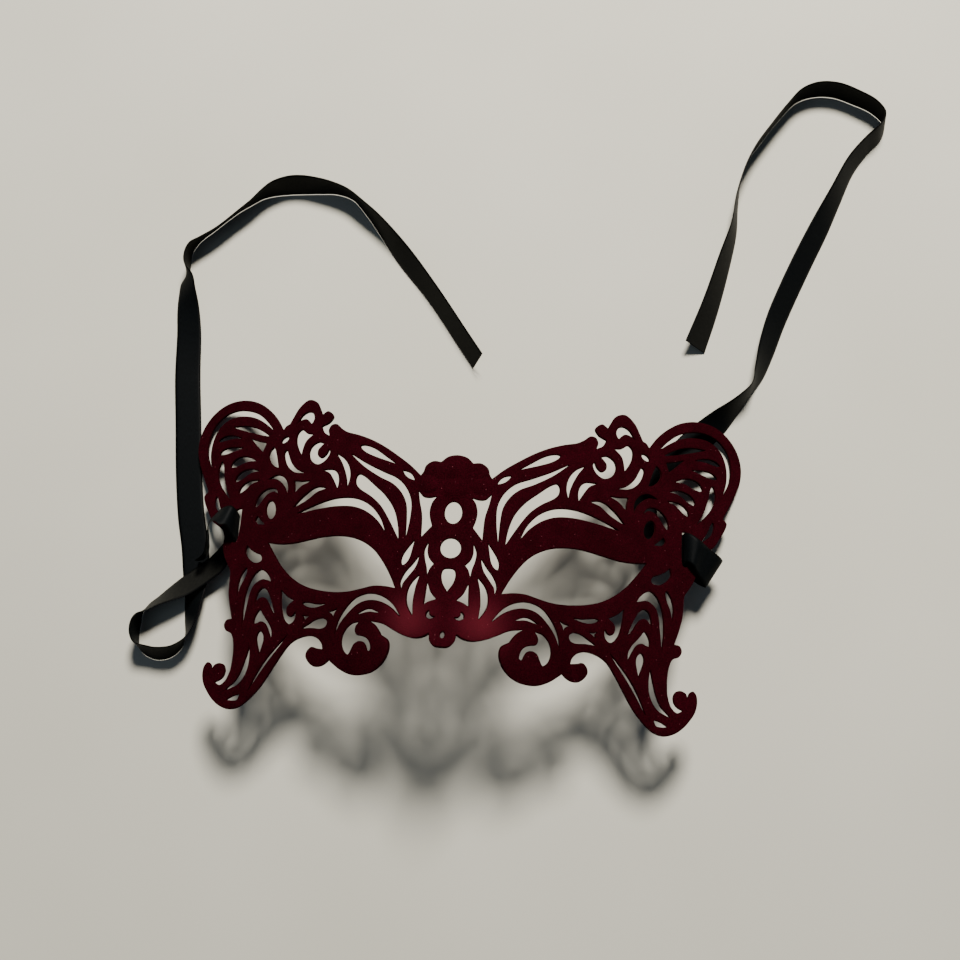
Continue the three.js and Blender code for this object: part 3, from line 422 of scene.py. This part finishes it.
def sheet_object(material):
    right = [EYE, RIBBON_SLOT, *BROW_CUTS, *CURL_CUTS, *TEMPLE_CUTS, *NOSE_CUTS, *CHEEK_CUTS]
    left = [ring[::-1] * np.array([-1, 1]) for ring in right]
    rings = [OUTER_EDGE if signed_area(OUTER_EDGE) > 0 else OUTER_EDGE[::-1]]
    rings += [ring if signed_area(ring) < 0 else ring[::-1] for ring in CENTRE_CUTS + right + left]

    # the material lies to the left of every ring
    rim = np.vstack(rings)
    following = [np.roll(np.arange(len(r)), -1) + o for r, o in zip(rings, offsets(rings))]
    after = np.concatenate(following)
    before = np.argsort(after)
    along = rim[after] - rim[before]
    along /= np.linalg.norm(along, axis=1, keepdims=True)
    outward = np.stack([along[:, 1], -along[:, 0]], axis=1)

    tree = kdtree.KDTree(len(rim))
    for i, (x, y) in enumerate(rim):
        tree.insert((x, y, 0), i)
    tree.balance()
    lattice = np.vstack([hexagons(*SEED_AREA, SEED_PITCH), hexagons(*FLOWER_AREA, FLOWER_PITCH)])
    lattice = lattice[inside(lattice, rim, rim[after])]
    free = SEED_CLEARANCE * SEED_PITCH
    seeds = np.array([p for p in lattice if tree.find((p[0], p[1], 0))[2] > free])

    flat = np.vstack([rim, seeds])
    edges = [(int(a), int(b)) for a, b in enumerate(after)]
    net = delaunay_2d_cdt([Vector(p) for p in flat], edges, [], 0, 1e-7, False)
    points = np.array([tuple(p) for p in net[0]])
    faces = np.array(net[2])
    faces = faces[inside(points[faces].mean(axis=1), rim, rim[after])]
    assert len(points) == len(flat)

    def placed(xy, depth):
        x, y = xy[:, 0], xy[:, 1]
        front = np.stack([x, y, relief(x, y) + petals(x, y)], axis=1)
        return front - relief_normal(x, y) * depth

    inner = np.vstack([rim - RIM * outward, seeds])
    count = len(flat)
    layers = [placed(inner, 0.0), placed(inner, SHEET)]
    shoulder = RIM * (1 - math.sqrt(0.5))
    profile = [(shoulder, shoulder), (0.0, RIM), (0.0, SHEET - RIM), (shoulder, SHEET - shoulder)]
    for inset, depth in profile:
        layers.append(placed(rim - inset * outward, depth))
    vertices = np.vstack(layers)
    starts = [0] + [2 * count + k * len(rim) for k in range(len(profile))] + [count]
    quads = []
    for a, b in zip(starts, starts[1:]):
        quads += [(int(i + a), int(i + b), int(j + b), int(j + a)) for i, j in enumerate(after)]
    tops = [tuple(int(v) for v in f) for f in faces]
    backs = [(a + count, c + count, b + count) for a, b, c in tops]
    edge = np.zeros(len(vertices))
    edge[2 * count :] = 1.0
    x, y = np.abs(vertices[:, 0]), vertices[:, 1]
    # painted sheen: a soft mask on both sides of the nose where the flock is drawn lighter and
    # pinker, standing in for light caught by the sloping pile
    aside, up = ((v - c) / r for v, c, r in zip((x, y), PAINTED_SHEEN_PLACE, PAINTED_SHEEN_SIZE))
    tags = {"rim": edge, "painted_sheen": np.exp(-(aside**2) - up**2)}
    piece = mesh_object("flocked_sheet", vertices, tops + backs + quads, [material], **tags)
    roll = Matrix.Rotation(math.atan(LEFT_SIDE_RISE / MASK_WIDTH), 4, "Y")
    piece.data.transform(Matrix.Translation((0, -PATTERN_CENTRE_Y * MM, 0)) @ roll)
    lowest = min(v.co.z for v in piece.data.vertices)
    piece.data.transform(Matrix.Translation((0, 0, -lowest)))
    return piece


def offsets(rings):
    return np.cumsum([0] + [len(r) for r in rings[:-1]])


# ---- ribbons ----

PICOT_PITCH = 0.8  # spacing of the small loops along a ribbon's selvedge
PICOT = 0.1
ROUTE_STEPS = 20  # points between two places of a route, to find its direction
ROW_STEPS = 16  # points between two rows of a ribbon
ACROSS = 11  # points across a ribbon
BODY = 0.3  # share of the thickness from a ribbon's middle to either side
THIN_EDGE = 0.5  # how much of that is left at the selvedge
PATH_POINTS = 160


def lying_rows(route):
    """Rows of a ribbon's two edges, from a route of [x, y, bank, lift] on the floor."""
    centre = np.array([p[:2] for p in route], float)
    fine = spline(centre, steps=ROUTE_STEPS)
    rows = []
    for i, p in enumerate(route):
        k = ROUTE_STEPS * i
        along = fine[min(k + 1, len(fine) - 1)] - fine[max(k - 1, 0)]
        along /= np.linalg.norm(along)
        angle = math.radians(p[2])
        across = RIBBON_WIDTH / 2 * math.cos(angle)
        up = RIBBON_WIDTH / 2 * math.sin(angle)
        z = LOWEST_EDGE + abs(up) + (p[3] if len(p) > 3 else 0)
        sx, sy = -along[1] * across, along[0] * across
        rows.append([p[0] + sx, p[1] + sy, z + up, p[0] - sx, p[1] - sy, z - up])
    return rows


def ribbon(name, rows, material):
    """A satin strip through rows of its two edges, and the line that it follows."""
    rows = np.array(rows, float)
    knots = spline(rows, steps=ROW_STEPS)
    knots[:, [2, 5]] = np.maximum(knots[:, [2, 5]], LOWEST_EDGE)
    left, right = knots[:, :3], knots[:, 3:]
    middle = (left + right) / 2
    run = np.r_[0, np.cumsum(np.linalg.norm(np.diff(middle, axis=0), axis=1))]
    count = int(run[-1] / (PICOT_PITCH / 2))
    s = np.linspace(0, run[-1], count + 1)
    left, right = (
        np.stack([np.interp(s, run, side[:, k]) for k in range(3)], 1) for side in (left, right)
    )
    middle = (left + right) / 2
    along = np.gradient(middle, axis=0)
    normal = np.cross(along, left - right)
    normal /= np.linalg.norm(normal, axis=1, keepdims=True)
    across = np.linspace(-1, 1, ACROSS)
    reach = np.where(np.arange(count + 1) % 2 == 0, PICOT, 0.0) * 2 / RIBBON_WIDTH
    vertices, u, v, reverse = [], [], [], []
    for side in (1, -1):
        for a in across:
            share = (1 + a * (1 + (reach if abs(a) == 1 else 0))) / 2
            share = np.broadcast_to(share, (count + 1,))[:, None]
            thin = THIN_EDGE if abs(a) == 1 else 1.0
            out = normal * side * thin * RIBBON_THICKNESS * BODY
            vertices.append(right + (left - right) * share + out)
            u.append(np.full(count + 1, a))
            v.append(s * MM)
            reverse.append(np.full(count + 1, float(side < 0)))
    width = len(across)
    grid = np.arange(2 * width * (count + 1)).reshape(2 * width, count + 1)
    ring = list(range(width)) + list(range(2 * width - 1, width - 1, -1))
    faces = []
    for a, b in zip(ring, ring[1:] + ring[:1]):
        for i in range(count):
            corners = (grid[a, i], grid[a, i + 1], grid[b, i + 1], grid[b, i])
            faces.append(tuple(int(c) for c in corners))
    faces.append([int(grid[a, 0]) for a in ring])
    faces.append([int(grid[a, count]) for a in ring[::-1]])
    tags = {"across": u, "along": v, "reverse": reverse}
    tags = {key: np.concatenate(values) for key, values in tags.items()}
    piece = mesh_object(name, np.vstack(vertices), faces, [material], **tags)
    piece.data.transform(Matrix.Translation((0, -PATTERN_CENTRE_Y * MM, 0)))
    path = middle[:: max(1, count // PATH_POINTS)]
    path = np.vstack([path, middle[-1:]]) if not np.allclose(path[-1], middle[-1]) else path
    path = (path - np.array([0, PATTERN_CENTRE_Y, 0])) * MM
    return piece, path, run[-1] * MM


# ---- materials ----

PILE_DEEP, PILE_LIT = (0.007, 0.0004, 0.0012), (0.030, 0.0013, 0.0042)
# painted sheen: a lighter pink mixed into the flock beside the nose, standing in for the light that
# the sloping pile catches
PAINTED_SHEEN_COLOUR, PAINTED_SHEEN_SHARE = (0.155, 0.016, 0.028), 0.36
PILE_RIM = (0.010, 0.0004, 0.0011)
LINT = (0.2, 0.05, 0.065)
LINT_RADIUS = 0.05
PATCH_DEEP, PATCH_LIT = (0.8, 0.8, 0.8), (1.15, 1.15, 1.15)
PILE_SCALE, PILE_BUMP_SCALE, PATCH_SCALE, LINT_SCALE = 2600, 2200, 140, 420
FACE_DEEP, FACE_LIT = (0.0012, 0.0016, 0.0019), (0.0038, 0.0048, 0.0056)
REVERSE_DEEP, REVERSE_LIT = (0.0048, 0.0049, 0.0045), (0.0125, 0.0123, 0.0108)
SELVEDGE = (0.0016, 0.0017, 0.0018)
SELVEDGE_START = 0.86  # share of the half width
THREAD_SCALE, THREAD_STRETCH = 38, 20  # threads run along the ribbon
FLOOR_DEEP, FLOOR_LIT = (0.60, 0.58, 0.50), (0.64, 0.62, 0.54)
FLOOR_SCALE = 9


def new_material(name):
    material = bpy.data.materials.new(name)
    material.use_nodes = True
    tree = material.node_tree
    return material, tree, tree.nodes["Principled BSDF"]


def node(tree, kind, **values):
    n = tree.nodes.new(kind)
    for key, value in values.items():
        if key in n.inputs:
            n.inputs[key].default_value = value
        else:
            setattr(n, key, value)
    return n


def ramp(tree, fac, stops):
    n = tree.nodes.new("ShaderNodeValToRGB")
    while len(n.color_ramp.elements) < len(stops):
        n.color_ramp.elements.new(0.5)
    for element, (place, colour) in zip(n.color_ramp.elements, stops):
        element.position = place
        element.color = (*colour, 1)
    tree.links.new(fac, n.inputs["Fac"])
    return n.outputs["Color"]


def mix(tree, fac, a, b, blend="MIX"):
    n = tree.nodes.new("ShaderNodeMix")
    n.data_type = "RGBA"
    n.blend_type = blend
    for socket, value in ((n.inputs["Factor"], fac), (n.inputs["A"], a), (n.inputs["B"], b)):
        if isinstance(value, (int, float, tuple)):
            socket.default_value = value if isinstance(value, (int, float)) else (*value, 1)
        else:
            tree.links.new(value, socket)
    return n.outputs["Result"]


def flock_material():
    material, tree, shader = new_material("flock")
    place = tree.nodes.new("ShaderNodeTexCoord").outputs["Object"]

    def noise(scale, detail, rough=0.5):
        n = node(tree, "ShaderNodeTexNoise", Scale=scale, Detail=detail, Roughness=rough)
        tree.links.new(place, n.inputs["Vector"])
        return n.outputs["Fac"]

    pile = ramp(tree, noise(PILE_SCALE, 3), [(0.3, PILE_DEEP), (0.72, PILE_LIT)])
    patches = ramp(tree, noise(PATCH_SCALE, 3, 0.6), [(0.35, PATCH_DEEP), (0.7, PATCH_LIT)])
    colour = mix(tree, 1.0, pile, patches, "MULTIPLY")
    lint = tree.nodes.new("ShaderNodeTexVoronoi")
    lint.inputs["Scale"].default_value = LINT_SCALE
    lint.inputs["Randomness"].default_value = 1
    tree.links.new(place, lint.inputs["Vector"])
    near = node(tree, "ShaderNodeMath", operation="LESS_THAN")
    near.inputs[1].default_value = LINT_RADIUS
    tree.links.new(lint.outputs["Distance"], near.inputs[0])
    colour = mix(tree, near.outputs[0], colour, LINT)
    # painted sheen beside the nose: the flock colour is mixed towards a lighter pink there
    painted_sheen = node(tree, "ShaderNodeAttribute", attribute_name="painted_sheen")
    painted_sheen_mix = mix(tree, PAINTED_SHEEN_SHARE, colour, PAINTED_SHEEN_COLOUR)
    colour = mix(tree, painted_sheen.outputs["Fac"], colour, painted_sheen_mix)
    edge = node(tree, "ShaderNodeAttribute", attribute_name="rim")
    colour = mix(tree, edge.outputs["Fac"], colour, PILE_RIM)
    tree.links.new(colour, shader.inputs["Base Color"])
    shader.inputs["Roughness"].default_value = 0.95
    shader.inputs["Specular IOR Level"].default_value = 0.01
    shader.inputs["Sheen Weight"].default_value = 0.1
    shader.inputs["Sheen Roughness"].default_value = 0.35
    shader.inputs["Sheen Tint"].default_value = (0.8, 0.09, 0.16, 1)
    bump = node(tree, "ShaderNodeBump", Strength=0.6, Distance=0.0003)
    tree.links.new(noise(PILE_BUMP_SCALE, 2), bump.inputs["Height"])
    tree.links.new(bump.outputs["Normal"], shader.inputs["Normal"])
    return material


def satin_material():
    material, tree, shader = new_material("satin")
    across = node(tree, "ShaderNodeAttribute", attribute_name="across").outputs["Fac"]
    along = node(tree, "ShaderNodeAttribute", attribute_name="along").outputs["Fac"]
    place = node(tree, "ShaderNodeCombineXYZ")
    tree.links.new(across, place.inputs["X"])
    stretch = node(tree, "ShaderNodeMath", operation="MULTIPLY")
    stretch.inputs[1].default_value = THREAD_STRETCH
    tree.links.new(along, stretch.inputs[0])
    tree.links.new(stretch.outputs[0], place.inputs["Y"])
    threads = node(tree, "ShaderNodeTexNoise", Scale=THREAD_SCALE, Detail=2, Roughness=0.6)
    tree.links.new(place.outputs["Vector"], threads.inputs["Vector"])
    shine = ramp(tree, threads.outputs["Fac"], [(0.35, FACE_DEEP), (0.7, FACE_LIT)])
    dull = ramp(tree, threads.outputs["Fac"], [(0.35, REVERSE_DEEP), (0.7, REVERSE_LIT)])
    wrong_side = node(tree, "ShaderNodeAttribute", attribute_name="reverse")
    body = mix(tree, wrong_side.outputs["Fac"], shine, dull)
    distance = node(tree, "ShaderNodeMath", operation="ABSOLUTE")
    tree.links.new(across, distance.inputs[0])
    selvedge = node(tree, "ShaderNodeMath", operation="GREATER_THAN")
    selvedge.inputs[1].default_value = SELVEDGE_START
    tree.links.new(distance.outputs[0], selvedge.inputs[0])
    colour = mix(tree, selvedge.outputs[0], body, SELVEDGE)
    tree.links.new(colour, shader.inputs["Base Color"])
    shader.inputs["Roughness"].default_value = 0.5
    shader.inputs["Specular IOR Level"].default_value = 0.04
    bump = node(tree, "ShaderNodeBump", Strength=0.35, Distance=0.0001)
    tree.links.new(threads.outputs["Fac"], bump.inputs["Height"])
    tree.links.new(bump.outputs["Normal"], shader.inputs["Normal"])
    return material


def floor_material():
    material, tree, shader = new_material("pale_floor")
    place = tree.nodes.new("ShaderNodeTexCoord").outputs["Object"]
    n = node(tree, "ShaderNodeTexNoise", Scale=FLOOR_SCALE, Detail=2)
    tree.links.new(place, n.inputs["Vector"])
    colour = ramp(tree, n.outputs["Fac"], [(0.3, FLOOR_DEEP), (0.7, FLOOR_LIT)])
    tree.links.new(colour, shader.inputs["Base Color"])
    shader.inputs["Roughness"].default_value = 1.0
    shader.inputs["Specular IOR Level"].default_value = 0.1
    return material


# ---- camera, light and floor ----

SENSOR = 36
LENS = 36.075
CAMERA_PLACE = (24.5, -68.1, 348.7)  # mm
CAMERA_ANGLES = (-16.27, 2.08, 3.56)  # pitch, turn and roll in degrees
KEY = {"place": (0.12, 0.78, 0.95), "target": (0, -0.03, 0), "size": 0.34, "power": 32}
FILL = {"place": (-0.9, -0.5, 1.4), "target": (0, 0, 0), "size": 1.6, "power": 1.5}
KEY_COLOUR, FILL_COLOUR = (1.0, 0.96, 0.88), (0.62, 0.8, 1.0)
SKY, SKY_STRENGTH = (0.66, 0.8, 1.0), 0.055
FLOOR_SIZE = 8


def photo_camera():
    data = bpy.data.cameras.new("photo_camera")
    data.sensor_width = SENSOR
    data.lens = LENS
    data.clip_start = 0.01
    camera = bpy.data.objects.new("photo_camera", data)
    bpy.context.collection.objects.link(camera)
    turns = zip(CAMERA_ANGLES, "XYZ")
    pitch, turn, roll = (Matrix.Rotation(math.radians(a), 3, axis) for a, axis in turns)
    view = pitch @ turn @ roll @ Matrix.Diagonal((1, -1, -1))
    right, down, forward = view
    axes = Matrix((right, -down, -forward)).transposed()
    camera.matrix_world = Matrix.Translation(Vector(CAMERA_PLACE) * MM) @ axes.to_4x4()
    bpy.context.scene.camera = camera


def area_light(name, place, target, size, power, colour):
    data = bpy.data.lights.new(name, "AREA")
    data.shape = "DISK"
    data.size = size
    data.energy = power
    data.color = colour
    light = bpy.data.objects.new(name, data)
    light.location = place
    light.rotation_euler = (Vector(target) - Vector(place)).to_track_quat("-Z", "Y").to_euler()
    bpy.context.collection.objects.link(light)


photo_camera()
area_light("key", colour=KEY_COLOUR, **KEY)
area_light("fill", colour=FILL_COLOUR, **FILL)
world = bpy.data.worlds.new("studio")
world.use_nodes = True
sky = world.node_tree.nodes["Background"]
sky.inputs["Color"].default_value = (*SKY, 1)
sky.inputs["Strength"].default_value = SKY_STRENGTH
bpy.context.scene.world = world

bpy.ops.mesh.primitive_plane_add(size=FLOOR_SIZE)
floor = bpy.context.active_object
floor.name = "floor"
floor.data.materials.append(floor_material())

# ---- assembly ----

flock = flock_material()
satin = satin_material()

left_rows = lying_rows(LEFT_TAIL) + lying_rows(LEFT_LOOP) + LEFT_SLOT_TURN
left_rows = [row[3:] + row[:3] for row in left_rows[::-1]]
right_rows = RIGHT_SLOT_FOLD + lying_rows(RIGHT_RUN) + lying_rows(RIGHT_TAIL)
left_tie, left_path, left_length = ribbon("left_tie", left_rows, satin)
right_tie, right_path, right_length = ribbon("right_tie", right_rows, satin)
LEFT_NODES = ("left_tie_tail", "left_tie_loop", "left_tie_slot_turn")
RIGHT_NODES = ("right_tie_slot_fold", "right_tie_run", "right_tie_tail")
for tie, path, length, nodes in (
    (left_tie, left_path, left_length, LEFT_NODES),
    (right_tie, right_path, right_length, RIGHT_NODES),
):
    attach(tie, "root")
    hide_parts(*nodes)

sheet = sheet_object(flock)
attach(sheet, "root")
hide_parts("mask_sheet")
